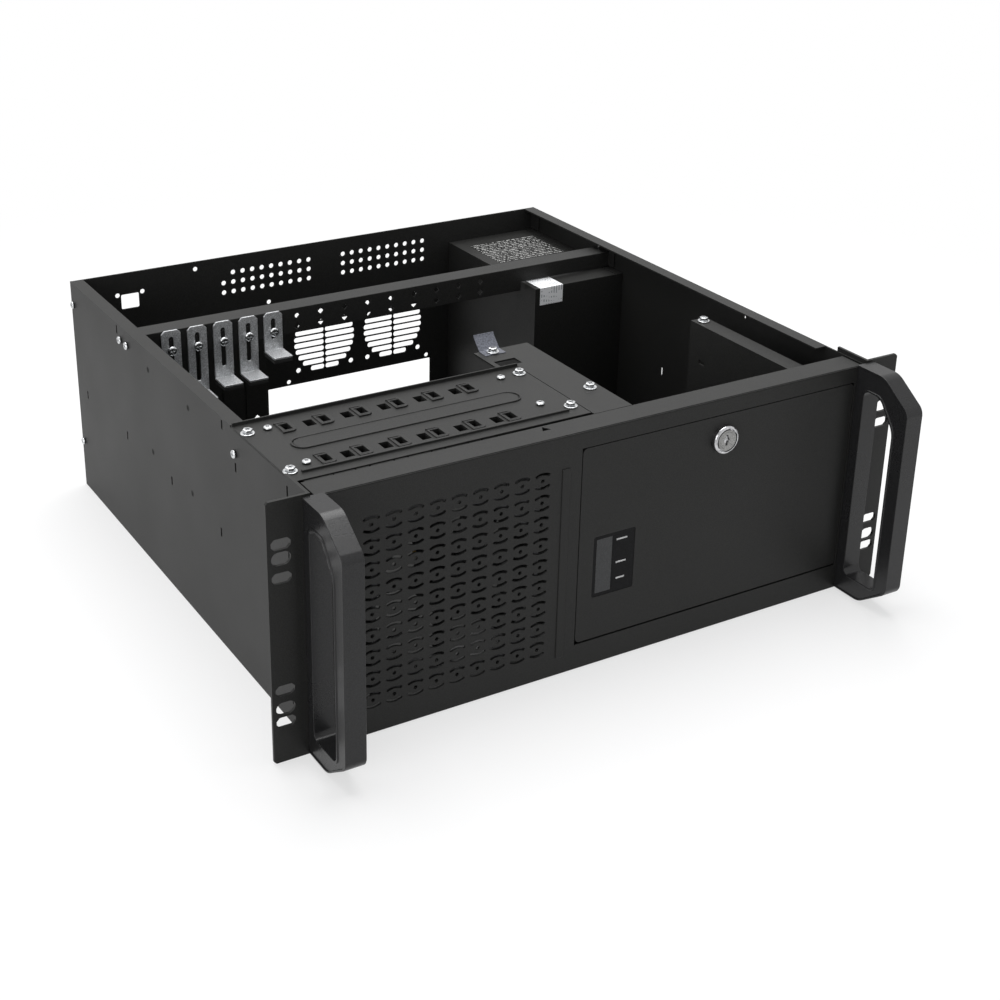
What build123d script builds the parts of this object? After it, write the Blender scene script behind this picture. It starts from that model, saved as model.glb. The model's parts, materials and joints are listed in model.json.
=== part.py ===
"""An empty 19-inch rackmount server case, four units high, seen without its top cover.

Millimetres, +Z up. X runs along the front panel, Y from the front panel to the rear panel.
The origin is at the middle of the whole part's footprint, on the surface that it rests on.
"""

import os
from math import cos, radians, sin

from build123d import *

os.makedirs("parts", exist_ok=True)

# Case
case_width = 426.0
case_height = 174.0
case_depth = 428.0
sheet = 1.2
fit = 0.1
wall_flange = 10.0
left_flange_start = 116.0
right_flange_start = 41.0

# Front panel and its door opening
panel_sheet = 1.6
panel_inset = 3.3
panel_flange = 20.8
panel_bottom = 0.4
door_low = 20.5
door_headroom = 12.0
door_left = -23.0
door_right = 203.2
door_gap = 0.5
door_hinge_gap = 1.4
door_corner = 2.4
door_return = 6.0
door_hinge_inset = 3.2
pin_radius = 1.4

# Grille of curved slots in front of the fan
grille_columns = 9
grille_rows = 9
grille_pitch_x = 15.1
grille_pitch_z = 15.3
grille_x = -113.3
grille_z = 85.4
arc_width = 10.8
arc_rise = 2.5
arc_band = 1.6
arc_offset = 3.1

# Rack ears and handles
ear_reach = 28.3
ear_lip = 3.0
ear_sheet = 2.0
ear_leg = 30.0
ear_slot_inset = 8.75
ear_slot_width = 12.6
middle_slot_height = 8.8
outer_slot_height = 7.2
handle_reach = 51.2
handle_width = 14.2
handle_bar = 11.0
handle_outer = 218.7
handle_low = 1.6
handle_end = 1.4
handle_shoulder = 26.0
handle_chamfer = 17.5

# Lock in the door
lock_drop = 17.0
lock_radius = 10.2
lock_reach = 4.4
lock_neck = 8.6
lock_face = 7.9
lock_face_depth = 1.6
lock_plug = 6.4
lock_play = 0.3
lock_shoulder = 1.9
lock_sides = 16
cam_length = 24.0
cam_set_back = 8.4
cam_sheet = 1.5

# Window in the door
window_left = -11.4
window_right = 21.6
window_low = 51.5
window_high = 96.3
window_sheet = 1.4

# Bays behind the door
face_plate_set_back = 16.0
bay_left = 28.8
bay_width = 146.2
bay_height = 41.8
bay_low = 24.0
bay_depth = 148.0
bay_count = 3
blank_sheet = 2.0

# Drive cage with its lid
lid_front = 23.6
lid_rear = 114.2
lid_right = -1.6
cage_left = -203.0
cage_right = -13.0
cage_front = 32.0
cage_rear = 113.0
louver_pitch = 26.6
louver_first = -162.3
louver_count = 5

# Fan behind the grille
fan_size = 120.0
fan_depth = 25.0
fan_bore = 57.5
fan_hub = 20.0
fan_play = 1.5

# Crossbar and the card hold-downs on it
crossbar_y = 306.0
crossbar_drop = 6.0
crossbar_web = 20.0
crossbar_flange = 17.0
card_pitch = 20.32
hold_down_x = -179.1
hold_down_width = 15.0
hold_down_sheet = 1.5
hold_down_foot = 17.0
hold_down_drops = [55.0, 51.5, 43.7, 43.5, 29.7]
clamp_screw_drop = 15.0
clearance = 0.3

# Rear panel
slot_x = -66.5
slot_count = 7
slot_recess = 12.0
ledge_z = 120.0
cover_width = 18.4
cover_sheet = 0.9
port_left = -51.5
port_width = 158.75
port_height = 44.45
port_low = 5.6
vent_z = 87.3
vent_pitch = 5.6
vent_x = [3.75, 69.9]
hole_pitch_x = 8.5
hole_pitch_z = 8.2
hole_radius = 2.7

# Power supply, standing on its side
supply_width = 86.0
supply_headroom = 19.4
supply_length = 140.0
supply_low = 4.6
supply_fan_z = 52.0
rear_proud = 3.0

half_width = case_width / 2
rack_width = case_width + 2 * ear_reach
ear_slot_spacing = rack_width - 2 * ear_slot_inset
ear_height = case_height + ear_lip
handle_high = ear_height - handle_end
door_high = case_height - door_headroom
lock_z = door_high - lock_drop
crossbar_top = case_height - crossbar_drop
clamp_screw_z = crossbar_top - clamp_screw_drop
supply_height = case_height - supply_low - supply_headroom
front = (handle_reach - case_depth - rear_proud) / 2
rear = front + case_depth
panel_half = half_width - panel_inset
inner_half = half_width - sheet - fit
lid_under = case_height - sheet
tray_front = front + panel_sheet + fit
door_x = (door_left + door_right) / 2
lock_x = door_x
hinge_y = front + door_hinge_inset
hinge_z = door_low + door_hinge_inset
plate_y = front + face_plate_set_back
bay_right = bay_left + bay_width
bay_high = bay_low + bay_count * bay_height
rear_inner = rear - sheet
comb_y = rear - slot_recess - sheet
bar_y = front + crossbar_y
hold_down_back = bar_y - clearance
hold_down_front = hold_down_back - hold_down_sheet
supply_right = inner_half - fit
supply_left = supply_right - supply_width
supply_high = supply_low + supply_height
supply_front = rear_inner - supply_length
supply_x = (supply_left + supply_right) / 2


def facing(y):
    """A plane across the case at this depth, drawn in X and Z, looking to the rear."""
    return Plane.XZ.offset(-y)


def beside(x):
    """A plane along the case at this X, drawn in Y and Z."""
    return Plane.YZ.offset(x)


def level(z):
    """A level plane at this height."""
    return Plane.XY.offset(z)


def slab(x, y, z, mode=Mode.ADD):
    """A flat-sided piece between a low and a high place on each axis."""
    with Locations(((x[0] + x[1]) / 2, (y[0] + y[1]) / 2, (z[0] + z[1]) / 2)):
        Box(x[1] - x[0], y[1] - y[0], z[1] - z[0], mode=mode)


def save(builder, name):
    """Label a finished sub-part and write it."""
    builder.part.label = name
    export_step(builder.part, f"parts/{name}.step")


# Chassis tray, one sheet folded into a floor, two walls and their top flanges
wall_slots = [(324, 5), (405, 87), (316, 86.6), (227, 86), (139, 86.3), (130, 5), (110, 27)]
with BuildPart() as chassis_tray:
    with BuildSketch(facing(tray_front)):
        with BuildLine():
            Polyline(
                (-half_width + wall_flange, case_height),
                (-half_width, case_height),
                (-half_width, 0),
                (half_width, 0),
                (half_width, case_height),
                (half_width - wall_flange, case_height),
            )
            offset(amount=sheet, side=Side.LEFT, kind=Kind.INTERSECTION)
        make_face()
    extrude(amount=tray_front - rear)
    flange_zone = (lid_under - fit, case_height + 1)
    slab(
        (-half_width - 1, -half_width + wall_flange + 1),
        (front, front + left_flange_start),
        flange_zone,
        Mode.SUBTRACT,
    )
    slab(
        (half_width - wall_flange - 1, half_width - sheet),
        (front, front + right_flange_start),
        flange_zone,
        Mode.SUBTRACT,
    )
    slab((-inner_half, inner_half), (rear_inner - fit, rear + 1), flange_zone, Mode.SUBTRACT)
    slab((-inner_half, inner_half), (tray_front, tray_front + sheet), (0, 14))
    with BuildSketch(beside(-half_width - 1)):
        with Locations(*[(front + y, case_height - drop) for y, drop in wall_slots]):
            Rectangle(2.2, 6.5)
    extrude(amount=case_width + 2, mode=Mode.SUBTRACT)
save(chassis_tray, "chassis_tray")

# Board standoffs, hexagon posts riveted into the floor
standoff_x = [-38.0, 42.0, 119.0]
standoff_y = [190.0, 268.0, 395.0]
with BuildPart() as board_standoffs:
    with BuildSketch(level(sheet)):
        with Locations(*[(x, front + y) for x in standoff_x for y in standoff_y]):
            RegularPolygon(3.1, 6)
    extrude(amount=6.5)
save(board_standoffs, "board_standoffs")

# Rear panel, one sheet with side returns, pierced and stepped forward for the expansion slots
slot_centres = [slot_x - card_pitch * i for i in range(slot_count)]
recess_right = slot_x + card_pitch / 2 + 1.2
recess_left = slot_centres[-1] - card_pitch / 2 - 1.2
recess_low = 5.0
return_depth = 12.0
hole_x = [-86.0, 22.5]
hole_z = case_height - 30.4
hole_columns = 10
hole_rows = 3
group_holes = [
    (x + hole_pitch_x * i, hole_z + hole_pitch_z * j)
    for x in hole_x
    for i in range(hole_columns)
    for j in range(hole_rows)
    if not (x == hole_x[0] and i == 0 and j == hole_rows - 1)
]
vent_radius = 28.5
vent_rows = 10
vent_web = 1.3
vent_slots = []
for x in vent_x:
    for row in range(vent_rows):
        rise = (row - (vent_rows - 1) / 2) * vent_pitch
        reach = (vent_radius**2 - rise**2) ** 0.5 - vent_web / 2
        for side in (-1, 1):
            vent_slots.append((x + side * (vent_web + reach) / 2, vent_z + rise, reach))
fan_screw_pitch = 50.0
side_port = (-165.8, case_height - 23.8)
small_holes = [
    (-110, case_height - 6.3),
    (-176, case_height - 17.9),
    (-155.4, case_height - 17.5),
    (-46.6, case_height - 45.1),
    (-30.5, port_low + port_height + 3.35),
    (103.6, port_low + port_height + 3.35),
]
with BuildPart() as rear_panel:
    slab((-inner_half, inner_half), (rear_inner, rear), (sheet + fit, case_height))
    for side in (-1, 1):
        edge = sorted((side * inner_half, side * (inner_half - sheet)))
        slab(edge, (rear_inner - return_depth, rear_inner), (sheet + fit, case_height - sheet - fit))
    slab(
        (supply_right - 5, inner_half + 1),
        (rear_inner - return_depth - 1, rear_inner),
        (supply_low - 1, supply_high + 1),
        Mode.SUBTRACT,
    )
    slab((recess_left, recess_right), (comb_y, rear), (recess_low, ledge_z))
    slab(
        (recess_left + sheet, recess_right - sheet),
        (comb_y + sheet, rear + 1),
        (recess_low + sheet, ledge_z - sheet),
        Mode.SUBTRACT,
    )
    with BuildSketch(facing(rear + 1)):
        with Locations(*[(x, (recess_low + ledge_z) / 2 - 2) for x in slot_centres]):
            Rectangle(13.4, 98)
        with Locations((port_left + port_width / 2, port_low + port_height / 2)):
            Rectangle(port_width, port_height)
        with Locations((supply_x, (supply_low + supply_high) / 2)):
            Rectangle(supply_width - 12, supply_height - 12)
        with Locations(side_port):
            Rectangle(14.7, 12)
        with Locations(*group_holes):
            RegularPolygon(hole_radius, 5)
        with Locations(*small_holes):
            RegularPolygon(2.0, 4)
        for x, z, reach in vent_slots:
            with Locations((x, z)):
                Rectangle(reach, vent_pitch - 1.3)
        for x in vent_x:
            with Locations((x, vent_z)):
                with GridLocations(fan_screw_pitch, fan_screw_pitch, 2, 2):
                    RegularPolygon(2.6, 6)
    extrude(amount=slot_recess + sheet + 2, mode=Mode.SUBTRACT)
save(rear_panel, "rear_panel")

# Slot covers, plates with a bent tab at the top and a narrow tongue at the foot
cover_low = 7.0
tab_reach = 11.0
for i, x in enumerate(slot_centres):
    with BuildPart() as slot_cover:
        with BuildSketch(facing(comb_y - fit)):
            half = cover_width / 2
            Polygon(
                (x - half, ledge_z + cover_sheet),
                (x - half, cover_low + 9),
                (x - half + 4, cover_low),
                (x + half - 4, cover_low),
                (x + half, cover_low + 9),
                (x + half, ledge_z + cover_sheet),
                align=None,
            )
            with Locations((x, 33)):
                RegularPolygon(2.6, 4, mode=Mode.SUBTRACT)
        extrude(amount=cover_sheet)
        slab(
            (x - half, x + half),
            (comb_y - fit - cover_sheet, comb_y + tab_reach),
            (ledge_z, ledge_z + cover_sheet),
        )
    save(slot_cover, f"slot_cover_{i + 1}")

with BuildPart() as slot_cover_screws:
    with BuildSketch(level(ledge_z + cover_sheet)):
        with Locations(*[(x + 5, comb_y + 6) for x in slot_centres]):
            RegularPolygon(3.4, 8)
    extrude(amount=2.0, taper=25)
save(slot_cover_screws, "slot_cover_screws")

# Front panel, a shallow pan with the grille, the door opening, a pressed bead and a top flange
grille_places = [
    (
        grille_x + (i - (grille_columns - 1) / 2) * grille_pitch_x,
        grille_z + (j - (grille_rows - 1) / 2) * grille_pitch_z,
    )
    for i in range(grille_columns)
    for j in range(grille_rows)
]


def arc_slot(x, z, side):
    """A slot bowed away from the middle of its unit, above it or below it."""
    half = arc_width / 2
    base = z + side * arc_offset
    Polygon(
        (x - half, base),
        (x - half * 0.45, base + side * arc_rise),
        (x + half * 0.45, base + side * arc_rise),
        (x + half, base),
        (x, base + side * (arc_rise - arc_band)),
        align=None,
    )


bead_x = -35.4
bead_width = 6.0
bead_tip = 3.0
bead_low = 13.5
bead_half = (case_height - 22.5 - bead_low) / 2
with BuildPart() as front_panel:
    slab((-panel_half, panel_half), (front, front + panel_sheet), (panel_bottom, case_height))
    slab((-panel_half, panel_half), (front, front + panel_flange), (lid_under, case_height))
    for side in (-1, 1):
        edge = sorted((side * panel_half, side * (panel_half - sheet)))
        slab(edge, (front, front + panel_flange - 2), (panel_bottom + 20, lid_under))
    with BuildSketch(facing(front + panel_sheet + 1)):
        with Locations((door_x, (door_low - door_hinge_gap + door_high + door_gap) / 2)):
            Rectangle(
                door_right - door_left + 2 * door_gap,
                door_high - door_low + door_gap + door_hinge_gap,
            )
        for x, z in grille_places:
            for side in (-1, 1):
                arc_slot(x, z, side)
    extrude(amount=panel_sheet + 2, mode=Mode.SUBTRACT)
    for lug in ((door_left - 2.4, door_left - 0.8), (door_right + 0.8, door_right + 2.4)):
        slab(lug, (front + panel_sheet, front + 8), (door_low - 2, door_low + 9))
    slab(
        (lock_x - 12, lock_x + 12),
        (front + panel_sheet, front + cam_set_back - clearance),
        (door_high + 1, door_high + 1 + panel_sheet),
    )
    with BuildSketch(facing(front)):
        with Locations((bead_x, bead_low + bead_half)):
            Polygon(
                (-bead_width / 2, bead_tip - bead_half),
                (0, -bead_half),
                (bead_width / 2, bead_tip - bead_half),
                (bead_width / 2, bead_half - bead_tip),
                (0, bead_half),
                (-bead_width / 2, bead_half - bead_tip),
                align=None,
            )
    extrude(amount=0.7, taper=45)
    with BuildSketch(level(case_height + 1)):
        with Locations((-42, front + panel_flange - 5)):
            Triangle(a=6, b=6, c=6)
    extrude(amount=-3, mode=Mode.SUBTRACT)
save(front_panel, "front_panel")

# Rack ears, bent from thick sheet, with two groups of three slots
slot_rows = [
    (28.2, outer_slot_height),
    (37.7, middle_slot_height),
    (50.4, outer_slot_height),
    (126.6, outer_slot_height),
    (139.3, middle_slot_height),
    (148.8, outer_slot_height),
]


def blunt_slot(length, height):
    """A level slot whose ends are cut at three facets each."""
    flat = length / 2 - height * 0.3
    Polygon(
        (flat, -height / 2),
        (length / 2, -height * 0.2),
        (length / 2, height * 0.2),
        (flat, height / 2),
        (-flat, height / 2),
        (-length / 2, height * 0.2),
        (-length / 2, -height * 0.2),
        (-flat, -height / 2),
        align=None,
    )


for side, name in ((-1, "left_ear"), (1, "right_ear")):
    with BuildPart() as ear:
        with BuildSketch(level(0)):
            with BuildLine():
                Polyline(
                    (side * rack_width / 2, front),
                    (side * (half_width + fit), front),
                    (side * (half_width + fit), front + ear_leg),
                )
                offset(
                    amount=ear_sheet,
                    side=Side.LEFT if side < 0 else Side.RIGHT,
                    kind=Kind.INTERSECTION,
                )
            make_face()
        extrude(amount=ear_height)
        outer_edges = ear.edges().filter_by(Axis.Y).group_by(Axis.X)
        chamfer(outer_edges[0] if side < 0 else outer_edges[-1], 1.6)
        with BuildSketch(facing(front + ear_sheet + 1)):
            for z, height in slot_rows:
                with Locations((side * ear_slot_spacing / 2, z)):
                    if height == middle_slot_height:
                        SlotOverall(ear_slot_width, height)
                    else:
                        blunt_slot(ear_slot_width, height)
        extrude(amount=ear_sheet + 2, mode=Mode.SUBTRACT)
    save(ear, name)

# Handles, angular loops cast in one piece
for side, name in ((-1, "left_handle"), (1, "right_handle")):
    inner = side * (handle_outer - handle_width)
    with BuildPart() as handle:
        with BuildSketch(beside(min(side * handle_outer, inner))) as loop:
            Polygon(
                (front - fit, handle_low),
                (front - handle_shoulder, handle_low),
                (front - handle_reach, handle_low + handle_chamfer),
                (front - handle_reach, handle_high - handle_chamfer),
                (front - handle_shoulder, handle_high),
                (front - fit, handle_high),
                align=None,
            )
            grip_back = front - handle_reach + handle_bar + 1.5
            Polygon(
                (front - 9, handle_low + 16),
                (front - 21, handle_low + 12),
                (grip_back, handle_low + 16),
                (grip_back, handle_high - 36),
                (front - 24, handle_high - 16),
                (front - 9, handle_high - 16),
                align=None,
                mode=Mode.SUBTRACT,
            )
        extrude(amount=handle_width)
        chamfer(handle.edges().filter_by(Axis.Z).group_by(Axis.Y)[0], 0.8)
    save(handle, name)

with BuildPart() as handle_screws:
    with BuildSketch(facing(front + ear_sheet)):
        for side in (-1, 1):
            for z in (handle_low + 8, handle_high - 8):
                with Locations((side * (handle_outer - 1.8), z)):
                    RegularPolygon(1.7, 6)
    extrude(amount=-2.5)
save(handle_screws, "handle_screws")

# Door, a shallow pan hinged at its lower edge, with a window and a lock
with BuildPart() as front_door:
    with BuildSketch(facing(front)) as door_outline:
        with Locations((door_x, (door_low + door_high) / 2)):
            Rectangle(door_right - door_left, door_high - door_low)
        chamfer(door_outline.vertices(), door_corner)
    extrude(amount=-door_return)
    slab(
        (door_left + panel_sheet, door_right - panel_sheet),
        (front + panel_sheet, front + door_return + 1),
        (door_low + panel_sheet, door_high - panel_sheet),
        Mode.SUBTRACT,
    )
    with BuildSketch(facing(front - 1)):
        with Locations(((window_left + window_right) / 2, (window_low + window_high) / 2)):
            Rectangle(window_right - window_left, window_high - window_low)
        with Locations((lock_x, lock_z)):
            RegularPolygon(lock_neck + 2 * fit, lock_sides)
    extrude(amount=-panel_sheet - 2, mode=Mode.SUBTRACT)
    with BuildSketch(beside(door_left - 1)):
        with Locations((hinge_y, hinge_z)):
            RegularPolygon(pin_radius + 1.5 * clearance, 8)
    extrude(amount=door_right - door_left + 2, mode=Mode.SUBTRACT)
save(front_door, "front_door")

with BuildPart() as hinge_pins:
    for start, reach in ((door_left - 0.8, 3.6), (door_right + 0.8, -3.6)):
        with BuildSketch(beside(start)):
            with Locations((hinge_y, hinge_z)):
                RegularPolygon(pin_radius, 8)
        extrude(amount=reach)
save(hinge_pins, "hinge_pins")

# Window, a smoked plate with a thin flange that is bonded behind the door
with BuildPart() as door_window:
    slab(
        (window_left + fit, window_right - fit),
        (front + 0.2, front + panel_sheet),
        (window_low + fit, window_high - fit),
    )
    slab(
        (window_left - 2, window_right + 2),
        (front + panel_sheet, front + panel_sheet + window_sheet - 0.4),
        (window_low - 2, window_high + 2),
    )
save(door_window, "door_window")

# Lock, a barrel with a nut behind the door, a cylinder with a key slot, and a cam
lock_front = front - lock_reach
with BuildPart() as lock_barrel:
    with BuildSketch(facing(lock_front)):
        with Locations((lock_x, lock_z)):
            RegularPolygon(lock_radius, lock_sides)
    extrude(amount=-lock_reach)
    chamfer(lock_barrel.edges().group_by(Axis.Y)[0], lock_shoulder)
    with BuildSketch(facing(front)):
        with Locations((lock_x, lock_z)):
            RegularPolygon(lock_neck, lock_sides)
    extrude(amount=-(cam_set_back - clearance))
    for radius, depth in (
        (lock_face + lock_play, lock_face_depth + lock_play),
        (lock_plug + lock_play, lock_reach + cam_set_back),
    ):
        with BuildSketch(facing(lock_front)):
            with Locations((lock_x, lock_z)):
                RegularPolygon(radius, lock_sides)
        extrude(amount=-depth, mode=Mode.SUBTRACT)
save(lock_barrel, "lock_barrel")

with BuildPart() as lock_nut:
    with BuildSketch(facing(front + panel_sheet)):
        with Locations((lock_x, lock_z)):
            RegularPolygon(12.4, 6)
            RegularPolygon(lock_neck + fit, lock_sides, mode=Mode.SUBTRACT)
    extrude(amount=-3)
save(lock_nut, "lock_nut")

with BuildPart() as lock_cylinder:
    for radius, depth in ((lock_face, lock_face_depth), (lock_plug, lock_reach + cam_set_back)):
        with BuildSketch(facing(lock_front)):
            with Locations((lock_x, lock_z)):
                RegularPolygon(radius, lock_sides)
        extrude(amount=-depth)
    slab(
        (lock_x - 0.7, lock_x + 0.7),
        (lock_front - 1, lock_front + 5),
        (lock_z - 3.6, lock_z + 3.6),
        Mode.SUBTRACT,
    )
save(lock_cylinder, "lock_cylinder")

with BuildPart() as lock_cam:
    with BuildSketch(facing(front + cam_set_back)):
        with Locations((lock_x, lock_z)):
            Polygon(
                (9, -5.5),
                (9, 5.5),
                (-9, 5.5),
                (-cam_length + 3, 4.5),
                (-cam_length, 2),
                (-cam_length, -2),
                (-cam_length + 3, -4.5),
                (-9, -5.5),
                align=None,
            )
    extrude(amount=-cam_sheet)
save(lock_cam, "lock_cam")

# Bay face plate behind the door, with the openings for the bays, the buttons and the sockets
power_z = 136.0
reset_z = 117.0
control_x = 3.0
power_radius = 6.0
reset_radius = 3.2
socket_z = 36.0
with BuildPart() as bay_face_plate:
    slab(
        (door_left - 1, panel_half - sheet - fit),
        (plate_y, plate_y + sheet),
        (sheet + fit, lid_under - fit),
    )
    with BuildSketch(facing(plate_y - 1)):
        with Locations((bay_left + bay_width / 2, (bay_low + bay_high) / 2)):
            Rectangle(bay_width, bay_high - bay_low)
        with Locations((control_x, power_z)):
            RegularPolygon(power_radius + 2 * clearance, 10)
        with Locations((control_x, reset_z)):
            RegularPolygon(reset_radius + 2 * clearance, 8)
        with Locations((control_x - 8, socket_z), (control_x + 8, socket_z)):
            Rectangle(13.2, 6)
    extrude(amount=-sheet - 2, mode=Mode.SUBTRACT)
save(bay_face_plate, "bay_face_plate")

for i in range(bay_count):
    low = bay_low + i * bay_height
    with BuildPart() as bay_blank:
        slab(
            (bay_left - 2, bay_right + 2),
            (plate_y - blank_sheet, plate_y),
            (low + 0.2, low + bay_height - 0.2),
        )
        for leg in ((bay_left + fit, bay_left + 1.7), (bay_right - 1.7, bay_right - fit)):
            slab(leg, (plate_y, plate_y + 9), (low + 8, low + bay_height - 8))
    save(bay_blank, f"bay_blank_{i + 1}")

button_reach = 3.0
button_flange = 1.5
for name, z, radius, sides in (
    ("power_button", power_z, power_radius, 10),
    ("reset_button", reset_z, reset_radius, 8),
):
    with BuildPart() as button:
        with BuildSketch(facing(plate_y - button_reach)):
            with Locations((control_x, z)):
                RegularPolygon(radius, sides)
        extrude(amount=-button_reach - sheet - 3)
        with BuildSketch(facing(plate_y + sheet + clearance)):
            with Locations((control_x, z)):
                RegularPolygon(radius + button_flange, sides)
        extrude(amount=-1.5)
    save(button, name)

with BuildPart() as switch_housings:
    for z, radius, sides in ((power_z, power_radius, 10), (reset_z, reset_radius, 8)):
        edge = radius + 3.6
        slab(
            (control_x - edge, control_x + edge),
            (plate_y + sheet, plate_y + 14),
            (z - edge, z + edge),
        )
        with BuildSketch(facing(plate_y)):
            with Locations((control_x, z)):
                RegularPolygon(radius + button_flange + 2 * clearance, sides)
        extrude(amount=-9, mode=Mode.SUBTRACT)
save(switch_housings, "switch_housings")

with BuildPart() as socket_block:
    slab((control_x - 17, control_x + 17), (plate_y + sheet, plate_y + 16), (socket_z - 6, socket_z + 6))
    for x in (control_x - 8, control_x + 8):
        slab((x - 6.2, x + 6.2), (plate_y, plate_y + 11), (socket_z - 2.5, socket_z + 2.5), Mode.SUBTRACT)
        slab((x - 5.5, x + 5.5), (plate_y + 2, plate_y + 12), (socket_z + 0.2, socket_z + 1.8))
save(socket_block, "socket_block")

with BuildPart() as light_guide:
    slab((-8.6, 3.2), (front + 4, plate_y), (window_low + 3, window_high - 3))
save(light_guide, "light_guide")

# Bay frame, a left wall with a top plate and a foot, folded from one sheet
lid_gap = 0.4
plate_left = lid_right + lid_gap
frame_front = front + panel_flange + fit
frame_rear = front + bay_depth + 0.4
with BuildPart() as bay_frame:
    with BuildSketch(facing(frame_front)):
        with BuildLine():
            Polyline(
                (plate_left, case_height),
                (bay_left, case_height),
                (bay_left, sheet + fit),
                (bay_left - 12, sheet + fit),
            )
            offset(amount=sheet, side=Side.RIGHT, kind=Kind.INTERSECTION)
        make_face()
    extrude(amount=frame_front - frame_rear)
    slab(
        (bay_left - sheet, bay_left),
        (plate_y + sheet + fit, frame_front),
        (sheet + fit, lid_under - fit),
    )
    slab((-15.4, plate_left), (front + lid_rear + 1, frame_rear), (lid_under, case_height))
    slab((-11.5, 5.3), (front + 118, front + 128), (lid_under - 1, case_height + 1), Mode.SUBTRACT)
    with BuildSketch(beside(bay_left - 4)):
        for z in (52, 94, 136):
            with Locations((front + 48, z), (front + 132, z)):
                Rectangle(6, 3)
    extrude(amount=6, mode=Mode.SUBTRACT)
save(bay_frame, "bay_frame")

# Right wall of the bays, with a top flange and a foot
bay_wall_top = case_height - 9.0
with BuildPart() as bay_right_wall:
    with BuildSketch(facing(plate_y + sheet + fit)):
        with BuildLine():
            Polyline(
                (bay_right + 14, bay_wall_top),
                (bay_right, bay_wall_top),
                (bay_right, sheet + fit),
                (bay_right + 12, sheet + fit),
            )
            offset(amount=sheet, side=Side.LEFT, kind=Kind.INTERSECTION)
        make_face()
    extrude(amount=plate_y + sheet + fit - front - bay_depth)
    with BuildSketch(beside(bay_right - 2)):
        for z in (52, 94, 136):
            with Locations((front + 48, z), (front + 132, z)):
                Rectangle(6, 3)
    extrude(amount=6, mode=Mode.SUBTRACT)
save(bay_right_wall, "bay_right_wall")

# Grounding clip, a thin bent spring tab under a screw at the corner of the bay frame
clip_x = -3.0
clip_sheet = 0.5
clip_y = front + 139.0
with BuildPart() as grounding_clip:
    with BuildSketch(beside(clip_x - 11)):
        with BuildLine():
            Polyline(
                (clip_y, case_height),
                (clip_y + 9, case_height),
                (clip_y + 17, case_height + 8),
                (clip_y + 18.5, case_height + 13),
            )
            offset(amount=clip_sheet, side=Side.LEFT, kind=Kind.INTERSECTION)
        make_face()
    extrude(amount=22)
save(grounding_clip, "grounding_clip")

# Drive cage, a channel with side flanges that carry the lid
cage_top = lid_under - fit - sheet
cage_foot = sheet + fit
with BuildPart() as drive_cage:
    with BuildSketch(facing(front + cage_front)):
        with BuildLine():
            Polyline(
                (cage_left - 8.3, cage_top),
                (cage_left, cage_top),
                (cage_left, cage_foot),
                (cage_right, cage_foot),
                (cage_right, cage_top),
                (cage_right + 10, cage_top),
            )
            offset(amount=sheet, side=Side.LEFT, kind=Kind.INTERSECTION)
        make_face()
    extrude(amount=cage_front - cage_rear)
save(drive_cage, "drive_cage")

# Lid of the drive cage, with two upstands, a pressed oblong and rows of slots and louvers
rear_row = 96.0
front_row = 43.0
oblong = (-191.0, -28.5, 69.8, 16.5)
lid_top = case_height
slot_size = (6.4, 9.0)
louver_size = (9.2, 12.0)
slot_places = []
louver_places = [(-184.0, rear_row), (-182.5, front_row)]
for i in range(louver_count):
    centre = louver_first + i * louver_pitch
    for row in (rear_row, front_row):
        slot_places.append((centre - 5.2, row))
        louver_places.append((centre + 4.6, row))
with BuildPart() as cage_lid:
    slab((-half_width, lid_right), (front + lid_front, front + lid_rear), (lid_under, lid_top))
    slab((-half_width, lid_right), (front + lid_rear - sheet, front + lid_rear), (lid_under, lid_top + 2.4))
    slab((cage_left, cage_right), (front + 31.6, front + 33.6), (lid_under, lid_top + 1.6))
    with BuildSketch(level(lid_top)):
        with Locations(((oblong[0] + oblong[1]) / 2, front + oblong[2])):
            half_long = (oblong[1] - oblong[0]) / 2
            half_wide = oblong[3] / 2
            Polygon(
                (half_long - half_wide, -half_wide),
                (half_long - 2.5, -half_wide * 0.7),
                (half_long, 0),
                (half_long - 2.5, half_wide * 0.7),
                (half_long - half_wide, half_wide),
                (half_wide - half_long, half_wide),
                (2.5 - half_long, half_wide * 0.7),
                (-half_long, 0),
                (2.5 - half_long, -half_wide * 0.7),
                (half_wide - half_long, -half_wide),
                align=None,
            )
    extrude(amount=0.5, taper=45)
    with BuildSketch(level(lid_top)):
        with Locations(*[(x, front + y) for x, y in louver_places]):
            Rectangle(*louver_size)
    extrude(amount=0.9)
    with BuildSketch(level(lid_under - 1)):
        with Locations(*[(x, front + y) for x, y in slot_places + louver_places]):
            Rectangle(*slot_size)
    extrude(amount=5, mode=Mode.SUBTRACT)
save(cage_lid, "cage_lid")

# Screws of the lid and the bay frame
flange_screw_places = [(-208.6, 98.8), (-208.6, 36.6), (-7.5, 101.4), (-7.9, 38.1), (21.0, 58.1)]
with BuildPart() as flange_screws:
    for radius, sides, height in ((4.6, 9, 1.0), (3.3, 6, 3.4)):
        with BuildSketch(level(lid_top)):
            with Locations(*[(x, front + y) for x, y in flange_screw_places]):
                RegularPolygon(radius, sides)
        extrude(amount=height)
        with BuildSketch(level(lid_top + clip_sheet)):
            with Locations((clip_x, clip_y + 4.3)):
                RegularPolygon(radius, sides)
        extrude(amount=height)
save(flange_screws, "flange_screws")

pan_screw_places = [(-194.6, 99.6), (-194.8, 43.1), (-22.8, 100.2), (-23.6, 50.2)]
with BuildPart() as pan_screws:
    with BuildSketch(level(lid_top)):
        with Locations(*[(x, front + y) for x, y in pan_screw_places]):
            RegularPolygon(2.9, 8)
    extrude(amount=1.6, taper=25)
save(pan_screws, "pan_screws")

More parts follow.
